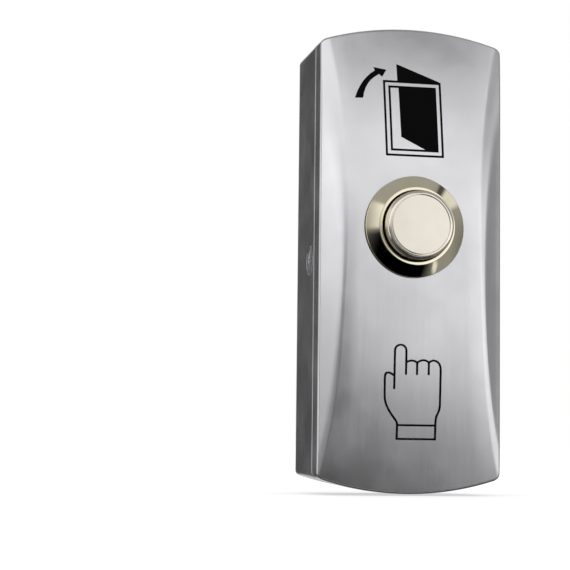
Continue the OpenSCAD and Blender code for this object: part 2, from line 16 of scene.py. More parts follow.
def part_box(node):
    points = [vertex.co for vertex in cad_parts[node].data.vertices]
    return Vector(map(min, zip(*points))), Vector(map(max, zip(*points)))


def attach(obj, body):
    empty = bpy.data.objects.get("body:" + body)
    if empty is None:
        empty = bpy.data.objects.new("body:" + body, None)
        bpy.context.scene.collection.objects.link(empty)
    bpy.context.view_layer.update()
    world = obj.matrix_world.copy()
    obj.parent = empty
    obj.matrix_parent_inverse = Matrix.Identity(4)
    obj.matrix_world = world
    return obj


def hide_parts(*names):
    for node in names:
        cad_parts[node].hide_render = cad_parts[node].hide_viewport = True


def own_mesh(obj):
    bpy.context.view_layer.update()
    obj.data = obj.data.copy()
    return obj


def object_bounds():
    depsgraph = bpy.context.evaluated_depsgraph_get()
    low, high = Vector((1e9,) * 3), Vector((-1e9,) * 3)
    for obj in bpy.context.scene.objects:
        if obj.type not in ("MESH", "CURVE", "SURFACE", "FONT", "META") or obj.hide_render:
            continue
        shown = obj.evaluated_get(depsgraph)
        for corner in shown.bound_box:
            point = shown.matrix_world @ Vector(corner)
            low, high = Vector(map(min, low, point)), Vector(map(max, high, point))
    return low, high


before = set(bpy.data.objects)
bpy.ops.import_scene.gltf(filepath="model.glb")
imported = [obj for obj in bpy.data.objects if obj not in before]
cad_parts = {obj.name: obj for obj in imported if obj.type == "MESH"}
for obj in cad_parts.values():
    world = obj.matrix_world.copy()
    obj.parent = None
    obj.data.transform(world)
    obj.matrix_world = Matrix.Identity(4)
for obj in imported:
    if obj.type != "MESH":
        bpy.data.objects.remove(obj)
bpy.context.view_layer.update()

MM = 0.001

# %% [markdown]
# ## Sizes
# Lengths are in millimetres, as on a drawing. Outer sizes and levels are read from the frame,
# so they can't drift away from it. The radii of the curved faces can't be read from a box, so
# those few are repeated here from the drawing. The housing is described as it lies on the
# wall: x across, y up the length and z out of the wall.

# %% Read sizes and levels from the frame
def size_of(node):
    low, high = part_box(node)
    return (high - low) / MM


def front_of(node):
    """How far the front of a node stands out of the wall."""
    return -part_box(node)[0].y / MM


def back_of(node):
    return -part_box(node)[1].y / MM


body_w, box_depth, body_len = size_of("back_box")
half_w = body_w / 2
rim_z = box_depth
cap_low, cap_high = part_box("button_cap")
button_y = (cap_low.z + cap_high.z) / 2 / MM
bezel_top_z = front_of("button_bezel")
print("housing", round(body_w, 2), "x", round(body_len, 2), "mm, button at", round(button_y, 2))

# %% Sizes of the castings from the drawing
wall_t = 1.8
draft = 0.45
end_rise = 2.75
corner_r = 1.4
inner_corner_r = 0.8
end_r = (half_w ** 2 + end_rise ** 2) / (2 * end_rise)
end_centre_y = body_len / 2 - end_r
crown_h = 6.0
crown_r = 360.0
scallop_r = 20.0
scallop_x = 24.111
scallop_h = 22.597
side_screw_back = 3.9
side_screw_z = rim_z - side_screw_back
side_face_x = half_w - draft * side_screw_back / box_depth

# %% [markdown]
# ## From numbers to a piece
# Every piece is made from a list of points and faces. One function stands the points up, so
# that z out of the wall becomes -Y and y becomes Z. Another gives the finished piece smooth
# shading, with sharp edges only where the surface really turns, and hangs it on its body.

# %% Stand a piece up and finish it
def stand_up(points):
    points = np.asarray(points, float)
    return np.column_stack([points[:, 0], -points[:, 2], points[:, 1]]) * MM


def link_mesh(name, mesh):
    piece = bpy.data.objects.new(name, mesh)
    bpy.context.scene.collection.objects.link(piece)
    return piece


def face_outwards(mesh):
    work = bmesh.new()
    work.from_mesh(mesh)
    bmesh.ops.recalc_face_normals(work, faces=work.faces)
    work.to_mesh(mesh)
    work.free()


def new_piece(name, points, faces):
    mesh = bpy.data.meshes.new(name)
    mesh.from_pydata(stand_up(points).tolist(), [], faces)
    face_outwards(mesh)
    return link_mesh(name, mesh)


def finish_piece(piece, body, material, nodes, sharp=32):
    piece.data.shade_smooth()
    piece.data.set_sharp_from_angle(angle=math.radians(sharp))
    piece.data.materials.clear()
    piece.data.materials.append(material)
    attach(piece, body)
    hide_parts(*nodes)
    print(piece.name, "has", len(piece.data.polygons), "faces")


# %% Turn modifiers into a plain mesh
def settle(piece):
    """Keeps what the piece's modifiers make, and takes the modifiers off."""
    graph = bpy.context.evaluated_depsgraph_get()
    mesh = bpy.data.meshes.new_from_object(piece.evaluated_get(graph))
    piece.modifiers.clear()
    piece.data = mesh
    return piece


def combine(piece, others, operation):
    for other in others:
        modifier = piece.modifiers.new(operation, "BOOLEAN")
        modifier.operation = operation
        modifier.solver = "EXACT"
        modifier.object = other
    settle(piece)
    for other in others:
        bpy.data.objects.remove(other)
    return piece


def break_edges(piece, width, segments=2):
    """Bevels the sharp edges finely, because no made edge is perfectly sharp."""
    modifier = piece.modifiers.new("fine_edge", "BEVEL")
    modifier.width = width * MM
    modifier.segments = segments
    modifier.limit_method = "ANGLE"
    modifier.angle_limit = math.radians(40)
    return settle(piece)


# %% [markdown]
# ## Building node trees
# Materials, the studio and the Geometry Nodes trees below are all built from a handful of
# nodes. Three helpers keep that readable: one adds a node and sets its inputs by name, one
# adds a Math node between two values, and one starts a Geometry Nodes tree whose sizes are
# named inputs.

# %% Helpers for every node tree
def add_node(tree, kind, links=(), **values):
    """A node with its inputs set by name, and joined to other nodes' outputs by links."""
    node = tree.nodes.new(kind)
    for key, value in values.items():
        node.inputs[key.replace("_", " ")].default_value = value
    for key, output in links:
        tree.links.new(output, node.inputs[key])
    return node


def calc(tree, operation, *values):
    """The result of a Math node, whose values are numbers or other nodes' outputs."""
    node = tree.nodes.new("ShaderNodeMath")
    node.operation = operation
    for socket, value in zip(node.inputs, values):
        if isinstance(value, (int, float)):
            socket.default_value = value
        else:
            tree.links.new(value, socket)
    return node.outputs[0]


# %% Helpers for Geometry Nodes
def new_geometry_tree(name, sizes, kinds=()):
    """A tree with a named length input for each size, and other kinds of input after them."""
    tree = bpy.data.node_groups.new(name, "GeometryNodeTree")
    sockets = [("Geometry", "NodeSocketGeometry")]
    sockets += [(size, "NodeSocketFloat") for size in sizes] + list(kinds)
    sockets += [("Material", "NodeSocketMaterial")]
    for label, kind in sockets:
        tree.interface.new_socket(label, in_out="INPUT", socket_type=kind)
    tree.interface.new_socket("Geometry", in_out="OUTPUT", socket_type="NodeSocketGeometry")
    return tree, tree.nodes.new("NodeGroupInput").outputs


def end_tree(tree, given, geometry):
    """Ends the tree in plain geometry that has its material."""
    real = add_node(tree, "GeometryNodeRealizeInstances", [("Geometry", geometry)])
    links = [("Geometry", real.outputs[0]), ("Material", given["Material"])]
    painted = add_node(tree, "GeometryNodeSetMaterial", links)
    out = tree.nodes.new("NodeGroupOutput")
    tree.links.new(painted.outputs[0], out.inputs[0])


def grow(piece, tree, **values):
    """Runs the tree on a piece. Inputs are set by the identifiers of their sockets."""
    modifier = piece.modifiers.new(tree.name, "NODES")
    modifier.node_group = tree
    for item in tree.interface.items_tree:
        key = item.name.replace(" ", "_")
        if item.in_out == "INPUT" and key in values:
            modifier[item.identifier] = values[key]
    return settle(piece)


def empty_piece(name):
    return link_mesh(name, bpy.data.meshes.new(name))


# %% [markdown]
# ## Satin zinc
# The castings are zinc alloy with a satin plating. A satin metal is fully metallic and a
# little rough. What makes it look like metal and not like grey paint is that the roughness
# itself drifts, and that a very fine brushing runs through it. Both come from noise on the
# Object coordinates, which the brushing stretches along the length. A picture of brushed metal
# could be wrapped round instead, but it would show seams and blur close by.

# %% Helpers for materials
def new_material(name):
    material = bpy.data.materials.new(name)
    material.use_nodes = True
    return material, material.node_tree, material.node_tree.nodes["Principled BSDF"]


def noise_on_object(tree, scale, stretch=(1, 1, 1), detail=3.0):
    """Noise laid over the piece in metres. A stretch below 1 draws it out along that axis."""
    place = tree.nodes.new("ShaderNodeTexCoord").outputs["Object"]
    mapping = add_node(tree, "ShaderNodeMapping", [("Vector", place)], Scale=stretch)
    links = [("Vector", mapping.outputs[0])]
    return add_node(tree, "ShaderNodeTexNoise", links, Scale=scale, Detail=detail).outputs["Fac"]


def spread(tree, value, low, high):
    """Brings noise from its usual 0.3 to 0.7 into the range from low to high."""
    links = [("Value", value)]
    span = add_node(
        tree, "ShaderNodeMapRange", links, From_Min=0.3, From_Max=0.7, To_Min=low, To_Max=high)
    return span.outputs["Result"]


def mixed(tree, share, a, b):
    """Between a and b by the share. Each is a number, a colour or another node's output."""
    mix = tree.nodes.new("ShaderNodeMix")
    if isinstance(b, tuple):
        mix.data_type = "RGBA"
    sockets = {s.name: s for s in mix.inputs if s.enabled}
    for key, value in (("Factor", share), ("A", a), ("B", b)):
        if isinstance(value, float):
            sockets[key].default_value = value
        elif isinstance(value, tuple):
            sockets[key].default_value = (*value, 1)
        else:
            tree.links.new(value, sockets[key])
    return next(s for s in mix.outputs if s.enabled)


def bumped(tree, shader, value, depth):
    bump = add_node(tree, "ShaderNodeBump", [("Height", value)], Distance=depth * MM)
    tree.links.new(bump.outputs["Normal"], shader.inputs["Normal"])


# %% A finish for metals
FINE_GRAIN = 4000
# The colour and roughness of the painted shade on the walls deep in the gap round the cap.
PAINTED_GAP_SHADE = (0.035, 0.03, 0.025)
PAINTED_GAP_SHADE_ROUGHNESS = 0.5


def metal(name, dark, light, rough, scale, grain=(FINE_GRAIN, 0.0), stretch=(1, 1, 1), painted_shade=None):
    """A metal whose tint and roughness drift with noise, and whose grain is a fine bump.

    The roughness drifts on a finer noise than the tint, so the two never line up.
    grain is the grain's scale and its depth in mm. The last argument is a function that gives
    the share of painted shade at each point of the piece: dark colour and roughness that stand in
    for shade."""
    material, tree, shader = new_material(name)
    shader.inputs["Metallic"].default_value = 1.0
    colour = mixed(tree, spread(tree, noise_on_object(tree, scale), 0, 1), dark, light)
    roughness = spread(tree, noise_on_object(tree, scale * 1.7, detail=4.0), *rough)
    # Painted shade: the colour darkens and the roughness rises where the mask is 1.
    if painted_shade:
        share = painted_shade(tree)
        colour = mixed(tree, share, colour, PAINTED_GAP_SHADE)
        roughness = mixed(tree, share, roughness, PAINTED_GAP_SHADE_ROUGHNESS)
    tree.links.new(colour, shader.inputs["Base Color"])
    tree.links.new(roughness, shader.inputs["Roughness"])
    if grain[1]:
        bumped(tree, shader, noise_on_object(tree, grain[0], stretch), grain[1])
    return material


ZINC = metal(
    "satin_zinc", (0.69, 0.69, 0.71), (0.77, 0.77, 0.79), (0.19, 0.26), 75,
    grain=(900, 0.004), stretch=(1, 1, 0.06))

# %% [markdown]
# ## Bright nickel and the metals inside
# The push button is polished nickel with a faint warm tone, so it mirrors the room. The cap is
# touched all day and is duller. The walls of the narrow gap between cap and bezel get painted
# shade: their colour turns dark and their finish rougher with depth. Steel, brass and silver
# are seen only through the cable hole, yet each has its own tint and grain.

# %% Painted shade in the gap round the cap
GAP_RADIUS = 6.42
# Below the bezel's top, the painted shade starts at the first depth and is full at the second.
GAP_UNSHADED_DEPTH = 0.10
GAP_FULL_SHADE_DEPTH = 0.35


def gap_painted_shade(tree):
    """Share of painted shade: 0 on the open faces of the push button, 1 on the walls deep in the
    gap.
    """
    place = tree.nodes.new("ShaderNodeTexCoord").outputs["Object"]
    split = add_node(tree, "ShaderNodeSeparateXYZ", [("Vector", place)]).outputs
    up = calc(tree, "SUBTRACT", split["Z"], button_y * MM)
    square = calc(tree, "ADD", calc(tree, "POWER", split["X"], 2), calc(tree, "POWER", up, 2))
    inside = calc(tree, "LESS_THAN", calc(tree, "SQRT", square), GAP_RADIUS * MM)
    deep = add_node(
        tree, "ShaderNodeMapRange", [("Value", split["Y"])],
        From_Min=(GAP_UNSHADED_DEPTH - bezel_top_z) * MM, From_Max=(GAP_FULL_SHADE_DEPTH - bezel_top_z) * MM)
    return calc(tree, "MULTIPLY", inside, deep.outputs["Result"])


# %% Materials of the push button and the metals inside
# Both nickels take the painted shade on the walls of the gap round the cap.
NICKEL = metal(
    "bright_nickel", (0.83, 0.77, 0.58), (0.87, 0.81, 0.63), (0.04, 0.08), 500, painted_shade=gap_painted_shade)
CAP_NICKEL = metal(
    "worn_nickel", (0.82, 0.765, 0.68), (0.84, 0.785, 0.70), (0.17, 0.20), 250,
    grain=(FINE_GRAIN, 0.001), painted_shade=gap_painted_shade)
STEEL = metal(
    "zinc_plated_steel", (0.52, 0.52, 0.54), (0.64, 0.64, 0.65), (0.25, 0.38), 900,
    grain=(FINE_GRAIN, 0.002))
BRASS = metal("sheet_brass", (0.72, 0.52, 0.22), (0.82, 0.64, 0.32), (0.22, 0.36), 700)
SILVER = metal("contact_silver", (0.80, 0.80, 0.78), (0.88, 0.88, 0.86), (0.15, 0.28), 900)


# %% Materials of plastic, rubber and ink
def black(name, shade, rough, grain_depth, gloss=0.5):
    """A black that isn't metal: its shade and roughness follow one fine grain."""
    material, tree, shader = new_material(name)
    shader.inputs["Specular IOR Level"].default_value = gloss
    grain = noise_on_object(tree, FINE_GRAIN)
    dark, light = [(share * shade,) * 3 for share in (0.8, 1.25)]
    colour = mixed(tree, spread(tree, grain, 0, 1), dark, light)
    tree.links.new(colour, shader.inputs["Base Color"])
    tree.links.new(spread(tree, grain, *rough), shader.inputs["Roughness"])
    bumped(tree, shader, grain, grain_depth)
    return material


PLASTIC = black("moulded_plastic", 0.03, (0.42, 0.55), 0.01)
RUBBER = black("gasket_rubber", 0.02, (0.6, 0.75), 0.015)
INK = black("printed_ink", 0.002, (0.5, 0.6), 0.002, gloss=0.05)

# %% [markdown]
# ## Turned forms
# The bezel, the cap and the holes are turned on a lathe in the factory, and so they are here:
# a half section of radius and height is swept round an axis. Holes are turned too and then cut
# away, which lets one section give a hole its bore and its round rim.

# %% A lathe
def turned(name, section, centre=(0, 0, 0), sides=96, axis="z", shape=None):
    """A closed form swept from a half section of [radius, height] points round an axis.

    A section that starts and ends at radius 0 is closed by its two ends, any other is a ring.
    shape may change the radius along the way, from radius, height and angle."""
    solid = section[0][0] < 1e-6 and section[-1][0] < 1e-6
    rings = [p for p in section if p[0] > 1e-6]
    angles = [2 * math.pi * k / sides for k in range(sides)]
    points, faces = [], []
    for r, h in rings:
        for angle in angles:
            radius = shape(r, h, angle) if shape else r
            points.append([radius * math.cos(angle), radius * math.sin(angle), h])
    for i in range(len(rings) - 1 if solid else len(rings)):
        a, b = i * sides, (i + 1) % len(rings) * sides
        for k in range(sides):
            n = (k + 1) % sides
            faces.append([a + k, a + n, b + n, b + k])
    if solid:
        for ring, height in ((0, section[0][1]), (len(rings) - 1, section[-1][1])):
            points.append([0, 0, height])
            first = ring * sides
            for k in range(sides):
                faces.append([len(points) - 1, first + k, first + (k + 1) % sides])
    points = np.array(points)
    if axis == "x":
        points = points[:, [2, 0, 1]]
    return new_piece(name, points + np.array(centre), faces)


# %% Plain helpers: a rounded corner, a disc and a block
def quarter(steps, r):
    """Inset and drop along a rounded edge of radius r, from its top face to its side."""
    angles = np.linspace(0, math.pi / 2, steps + 1)
    return [(r * (1 - math.sin(a)), r * (1 - math.cos(a))) for a in angles]


def disc(name, r, z0, z1, centre=(0, 0), sides=96, axis="z"):
    section = [[0, z1], [r, z1], [r, z0], [0, z0]]
    place = (0, *centre) if axis == "x" else (*centre, 0)
    return turned(name, section, place, sides, axis)


def block(name, low, high):
    x, y, z = zip(low, high)
    points = [[a, b, c] for a in x for b in y for c in z]
    faces = [[0, 1, 3, 2], [4, 6, 7, 5], [0, 4, 5, 1], [2, 3, 7, 6], [0, 2, 6, 4], [1, 5, 7, 3]]
    return new_piece(name, points, faces)


# %% [markdown]
# ## Outline of the castings
# Both castings share one outline: straight sides, arched ends and small round corners. A grid
# of rows and columns is stretched over it. The same rows and columns give the outer skin, each
# step of its rounded edge and the hollow inside, only with another inset, so all of them join
# point to point. Rows and columns crowd together near the border, where the form turns fast.

# %% The grid over the outline
COLUMNS = 144
ROWS = 132
CROWD_ACROSS = 1.4
CROWD_ALONG = 1.35
CORNER_STEPS = 200


def crowded(count, power):
    """Shares from -1 to 1 that crowd together near both ends."""
    t = np.linspace(-1, 1, count + 1)
    return np.sign(t) * (1 - (1 - np.abs(t)) ** power)


def outline_grid(inset, corner):
    """The grid as x and y, one line per row, for the outline inset all round."""
    w, reach = half_w - inset, end_r - inset
    centre_x = w - corner
    centre_y = end_centre_y + math.sqrt((reach - corner) ** 2 - centre_x ** 2)
    turns = np.linspace(0, math.atan2(centre_y - end_centre_y, centre_x), CORNER_STEPS)
    round_x = centre_x + corner * np.cos(turns)
    round_y = centre_y + corner * np.sin(turns)

    def arch(x):
        return end_centre_y + np.sqrt(reach ** 2 - x ** 2)

    across = crowded(COLUMNS, CROWD_ACROSS)
    grid = np.zeros((ROWS + 1, COLUMNS + 1, 2))
    for row, share in zip(grid, crowded(ROWS, CROWD_ALONG)):
        width = w
        if abs(share) * arch(w) > centre_y:
            above = round_y - abs(share) * arch(round_x)
            width = np.interp(0, above, round_x)
        row[:, 0] = across * width
        row[:, 1] = share * arch(row[:, 0])
    return grid


def border_of(grid):
    """The border of a grid, once round."""
    return np.concatenate([grid[0, :-1], grid[:-1, -1], grid[-1, :0:-1], grid[:0:-1, 0]])


# %% [markdown]
# A point of a casting has five numbers: x, y, z, then how much of the face's height is added
# to it later, and how far the face lies below the skin there. Only the cover uses the last two.

# %% A closed shell from two grids and the loops between them
def placed(flat, z, on_face=0.0, below=0.0):
    """Gives flat points their z and the two numbers for the face."""
    rest = np.broadcast_to([z, on_face, below], (*flat.shape[:-1], 3))
    return np.concatenate([flat, rest], axis=-1)


def between(a, b, steps):
    """The loops from one loop to another, without the first, so that walls have small faces."""
    return [a + (b - a) * k / steps for k in range(1, steps + 1)]


def stacked(name, top, loops, bottom):
    """Joins the border of the top grid through the loops to the border of the bottom grid."""
    cells = (ROWS + 1) * (COLUMNS + 1)
    index = np.arange(cells).reshape(ROWS + 1, COLUMNS + 1)
    points = np.concatenate([top.reshape(-1, 5), bottom.reshape(-1, 5), *loops])
    faces = []
    for grid in (index, index + cells):
        corners = [grid[:-1, :-1], grid[:-1, 1:], grid[1:, 1:], grid[1:, :-1]]
        faces += np.stack(corners, axis=-1).reshape(-1, 4).tolist()
    size = len(loops[0])
    rings = [border_of(index)]
    rings += [np.arange(size) + 2 * cells + k * size for k in range(len(loops))]
    rings += [border_of(index + cells)]
    for a, b in zip(rings, rings[1:]):
        corners = [a, np.roll(a, -1), np.roll(b, -1), b]
        faces += np.stack(corners, axis=-1).tolist()
    piece = new_piece(name, points[:, :3], faces)
    for label, values in (("on_face", points[:, 3]), ("below", points[:, 4] * MM)):
        attribute = piece.data.attributes.new(label, "FLOAT", "POINT")
        attribute.data.foreach_set("value", values.astype(np.float32))
    return piece


# %% [markdown]
# ## The rule of the cover's face
# The face of the cover follows a rule. It is crowned along the length, and a hollow scallop
# runs down each side, so its height is the lower of two circles, blended where they cross.
# A Geometry Nodes tree lifts the flat plate by that rule. The blend gives the soft crease of
# a casting, softer in the upper half, which a bevel on a hard edge couldn't follow as it
# fades out towards the ends. Polishing has also rolled the face off by a few hundredths of a
# millimetre beside the crease. That draws the dark line at the left and the bright one at
# the right in the photograph.

# %% A tree that lifts a plate to the crown and its scallops
FACE_SIZES = [
    "Crown Height", "Crown Radius", "Scallop Radius", "Scallop Side", "Scallop Height",
    "Soft Foot", "Soft Top", "Roll Depth", "Roll Reach"
]


def crowned_face_tree():
    tree, given = new_geometry_tree("crowned_face", FACE_SIZES)

    def c(operation, *values):
        return calc(tree, operation, *values)

    def named(label):
        node = tree.nodes.new("GeometryNodeInputNamedAttribute")
        node.data_type = "FLOAT"
        node.inputs["Name"].default_value = label
        return node.outputs["Attribute"]

    place = tree.nodes.new("GeometryNodeInputPosition").outputs[0]
    split = add_node(tree, "ShaderNodeSeparateXYZ", [("Vector", place)])
    side, along = c("ABSOLUTE", split.outputs["X"]), split.outputs["Z"]
    below = named("below")
    crown_reach = c("POWER", c("SUBTRACT", given["Crown Radius"], below), 2)
    crown = c("SQRT", c("SUBTRACT", crown_reach, c("POWER", along, 2)))
    crown = c("ADD", c("SUBTRACT", crown, given["Crown Radius"]), given["Crown Height"])
    hollow_reach = c("POWER", c("ADD", given["Scallop Radius"], below), 2)
    from_axis = c("POWER", c("SUBTRACT", given["Scallop Side"], side), 2)
    hollow = c("SQRT", c("MAXIMUM", c("SUBTRACT", hollow_reach, from_axis), 0))
    hollow = c("SUBTRACT", given["Scallop Height"], hollow)
    inwards = c("DIVIDE", c("SUBTRACT", hollow, crown), given["Roll Reach"])
    rolled = c("POWER", c("MAXIMUM", c("SUBTRACT", 1, c("MAXIMUM", inwards, 0)), 0), 2)
    crown = c("SUBTRACT", crown, c("MULTIPLY", rolled, given["Roll Depth"]))
    links = [("Value", along), ("To Min", given["Soft Foot"]), ("To Max", given["Soft Top"])]
    ramp = add_node(tree, "ShaderNodeMapRange", links, From_Min=-12 * MM, From_Max=18 * MM)
    ramp.interpolation_type = "SMOOTHSTEP"
    soft = ramp.outputs["Result"]
    near = c("MAXIMUM", c("SUBTRACT", soft, c("ABSOLUTE", c("SUBTRACT", crown, hollow))), 0)
    fillet = c("DIVIDE", c("POWER", near, 2), c("MULTIPLY", soft, 4))
    height = c("SUBTRACT", c("MINIMUM", crown, hollow), fillet)
    lift = c("MULTIPLY", c("MULTIPLY", height, named("on_face")), -1)
    offset = add_node(tree, "ShaderNodeCombineXYZ", [("Y", lift)])
    links = [("Geometry", given["Geometry"]), ("Offset", offset.outputs[0])]
    lifted = add_node(tree, "GeometryNodeSetPosition", links)
    end_tree(tree, given, lifted.outputs[0])
    return tree


CROWNED_FACE = crowned_face_tree()
print("the face's tree has", len(CROWNED_FACE.nodes), "nodes")

# %% [markdown]
# ## Front cover
# The cover is a die-cast shell. Its plate is stacked from the grid: the skin, the rounded
# edge, the side wall down to the rim, and the roof of the hollow. The tree lifts it. The pad
# that the push button clamps and the two screw lugs are joined on, and the seat, the panel
# hole and the lugs' tapped holes are cut. Two large cylinders could cut the scallops from a
# block, but Booleans on a curved face leave long thin faces, which satin metal shows as streaks.
# An even grid mirrors the room calmly.

# %% Stack the cover's plate and lift it
EDGE_R = 0.35
RIM_R = 0.12
EAVES_SHARE = 0.97


def cover_plate():
    def loop(inset, z, on_face=0.0, below=0.0):
        return placed(border_of(outline_grid(inset, corner_r - inset)), z, on_face, below)

    top = placed(outline_grid(EDGE_R, corner_r - EDGE_R), rim_z, 1.0)
    loops = [loop(inset, rim_z - drop, 1.0) for inset, drop in quarter(5, EDGE_R)[1:]]
    rim = [loop(inset, rim_z + drop) for inset, drop in reversed(quarter(3, RIM_R))]
    loops += between(loops[-1], rim[0], 6) + rim[1:]
    hollow = outline_grid(wall_t, inner_corner_r)
    foot = placed(border_of(hollow), rim_z)
    eaves = placed(border_of(hollow), rim_z, EAVES_SHARE, wall_t)
    loops += [foot] + between(foot, eaves, 4)
    return stacked("front_cover_skin", top, loops, placed(hollow, rim_z, 1.0, wall_t))


cover = grow(
    cover_plate(), CROWNED_FACE, Crown_Height=crown_h * MM, Crown_Radius=crown_r * MM,
    Scallop_Radius=scallop_r * MM, Scallop_Side=scallop_x * MM, Scallop_Height=scallop_h * MM,
    Soft_Foot=0.35 * MM, Soft_Top=0.9 * MM, Roll_Depth=0.06 * MM, Roll_Reach=2.6 * MM,
    Material=ZINC)
face_outwards(cover.data)
print("cover plate:", len(cover.data.polygons), "faces")

# %% Join the pad and the lugs, cut the seat and the holes
CUT_PAST = 1.0
pad_r, spot_r, panel_hole_r = 10.5, 9.15, 8.0
lug_t, lug_w, lug_drop, lug_head = 3.2, 8.0, 6.1, 3.0
root_reach, root_foot, root_head = 0.9, 1.0, 2.9
lug_hole_r, lug_gap = 1.5, 0.3
lug_x = side_face_x - wall_t - lug_gap
pad_z = front_of("lock_washer")
seat_z = back_of("bezel_gasket")


def lug(side):
    """A lug, and its root that runs into the cover's side wall."""
    made = []
    root = (lug_x + root_reach, root_foot, root_head)
    for reach, foot, head in ((lug_x, -lug_drop, lug_head), root):
        ends = sorted([side * (lug_x - lug_t), side * reach])
        low = (ends[0], -lug_w / 2, rim_z + foot)
        made.append(block("lug", low, (ends[1], lug_w / 2, rim_z + head)))
    return made


def tapped_hole(side):
    ends = sorted([side * (lug_x - lug_t - CUT_PAST), side * (lug_x + CUT_PAST)])
    return disc("tapped_hole", lug_hole_r, *ends, (0, side_screw_z), 48, "x")


pad = disc("pad", pad_r, pad_z, rim_z + crown_h - wall_t / 2, (0, button_y))
combine(cover, [pad] + lug(-1) + lug(1), "UNION")
above = rim_z + crown_h + CUT_PAST
seat = disc("seat", spot_r, seat_z, above, (0, button_y), 128)
panel_hole = disc("panel_hole", panel_hole_r, rim_z, above, (0, button_y), 128)
combine(cover, [seat, panel_hole, tapped_hole(-1), tapped_hole(1)], "DIFFERENCE")
finish_piece(cover, "housing", ZINC, ["front_cover"])

# %% [markdown]
# ## Back box
# The box is an open tray with sides that lean in a little towards the wall, as a casting must
# to leave its mould. It comes from the same grid: the back plate is one end of the stack, the
# floor of the hollow is the other, and the loops run up the outside, over the rim and down the
# inside. A Solidify modifier could give the tray its wall, but the outside has larger corners
# than the inside, so each is stacked loop by loop. The holes are cut with turned forms that
# already carry their rounded rims. A small pit is left in the back, where gas stayed in the
# casting.

# %% Stack the back box
BACK_EDGE_R = 0.45
FLOOR_R = 0.5
SMALLEST_CORNER = 0.2


def lean_at(z):
    return draft * (1 - z / box_depth)


def box_shell():
    def outer(inset, z):
        inset = inset + lean_at(z)
        return placed(border_of(outline_grid(inset, corner_r - inset)), z)

    def inner(inset, z):
        lean = inset + lean_at(z)
        corner = max(inner_corner_r - lean, SMALLEST_CORNER)
        return placed(border_of(outline_grid(wall_t + lean, corner)), z)

    plate_inset = BACK_EDGE_R + lean_at(0)
    back = placed(outline_grid(plate_inset, corner_r - plate_inset), 0)
    loops = [outer(inset, drop) for inset, drop in quarter(5, BACK_EDGE_R)[1:]]
    rim = [outer(inset, rim_z - drop) for inset, drop in reversed(quarter(3, RIM_R))]
    loops += between(loops[-1], rim[0], 14) + rim[1:]
    mouth = inner(0, rim_z)
    floor_round = [inner(inset, wall_t + drop) for inset, drop in reversed(quarter(4, FLOOR_R))]
    loops += [mouth] + between(mouth, floor_round[0], 14) + floor_round[1:-1]
    floor_inset = FLOOR_R + lean_at(wall_t)
    floor_corner = max(inner_corner_r - floor_inset, SMALLEST_CORNER)
    floor = placed(outline_grid(wall_t + floor_inset, floor_corner), wall_t)
    return stacked("back_box_skin", back, loops, floor)


# %% Cut the holes of the back box
wall_hole_x, wall_hole_y, wall_hole_r = 9.5, 34.0, 1.8
cable_hole_y, cable_hole_r = -5.0, 9.0
screw_hole_r, screw_head_r, screw_head_t, screw_sink = 1.55, 2.8, 1.2, 0.1
cable_rim_r, wall_rim_r = 0.5, 0.15
pit_r, pit_depth, pit_at = 0.28, 0.15, (-2.1, -21.7)


def rimmed_hole(name, r, rim_r, centre):
    """A cutter through the back plate, with a rounded rim on the wall side."""
    angles = np.linspace(0, math.pi / 2, 7)
    rim = [[r + rim_r * (1 - math.cos(a)), rim_r * (1 - math.sin(a))] for a in angles]
    top = wall_t + CUT_PAST
    section = [[0, top], [r, top]] + rim + [[r + rim_r, -CUT_PAST], [0, -CUT_PAST]]
    return turned(name, section, (*centre, 0), 128)


def countersunk_hole(side):
    inner, outer = side_face_x - wall_t - CUT_PAST, side_face_x - screw_sink
    section = [
        [0, inner], [screw_hole_r, inner], [screw_hole_r, outer - screw_head_t],
        [screw_head_r, outer], [screw_head_r, outer + CUT_PAST], [0, outer + CUT_PAST]
    ]
    section = [[r, side * h] for r, h in section]
    return turned("countersunk_hole", section, (0, 0, side_screw_z), 64, "x")


box = box_shell()
cuts = [rimmed_hole("cable_hole", cable_hole_r, cable_rim_r, (0, cable_hole_y))]
for x in (-wall_hole_x, wall_hole_x):
    for y in (-wall_hole_y, wall_hole_y):
        cuts.append(rimmed_hole("wall_hole", wall_hole_r, wall_rim_r, (x, y)))
cuts.append(disc("casting_pit", pit_r, -CUT_PAST, pit_depth, pit_at, 20))
combine(box, cuts + [countersunk_hole(-1), countersunk_hole(1)], "DIFFERENCE")
finish_piece(box, "housing", ZINC, ["back_box"])

# %% [markdown]
# ## Bezel and threaded barrel
# The bezel is one turned piece: a flat ring on top, a polished cone round it, and a threaded
# barrel behind. Fine roundings matter most on polished metal, because each one catches its own
# line of light, so every corner of the section is rounded. The thread is a helix, so the lathe
# lets the barrel's radius rise and fall with height and angle together.

# %% Section of the bezel
bezel_r, ring_r, bore_r, counterbore_r, barrel_r = 9.0, 6.95, 6.35, 7.05, 7.9
flange_z = front_of("bezel_gasket")
barrel_end_z = back_of("button_bezel")
bezel_edge, ring_chamfer, bezel_round = 0.35, 0.06, 0.12
shoulder_rise = 0.35
shoulder_z = flange_z + shoulder_rise
snap_r, snap_w = 7.45, 0.6
snap_z = barrel_end_z + snap_w
base_z = snap_z + snap_w


def rounded(section, r, steps=4):
    """The section with each inner corner rounded by r, or by less where a side is short."""
    points = [np.array(p, float) for p in section]
    made = [points[0]]
    for before, corner, after in zip(points, points[1:], points[2:]):
        arms = [before - corner, after - corner]
        lengths = [np.linalg.norm(arm) for arm in arms]
        reach = min(r, 0.45 * min(lengths))
        start, stop = [corner + arm / size * reach for arm, size in zip(arms, lengths)]
        for t in np.linspace(0, 1, steps + 1):
            made.append((1 - t) ** 2 * start + 2 * t * (1 - t) * corner + t ** 2 * stop)
    return made + [points[-1]]


# %% Turn the bezel
THREAD_PITCH = 1.0
THREAD_DEPTH = 0.32
THREAD_FADE = 0.8
THREAD_RUN_OUT = 0.7
STEPS_PER_PITCH = 10
thread_top_z = flange_z - THREAD_RUN_OUT


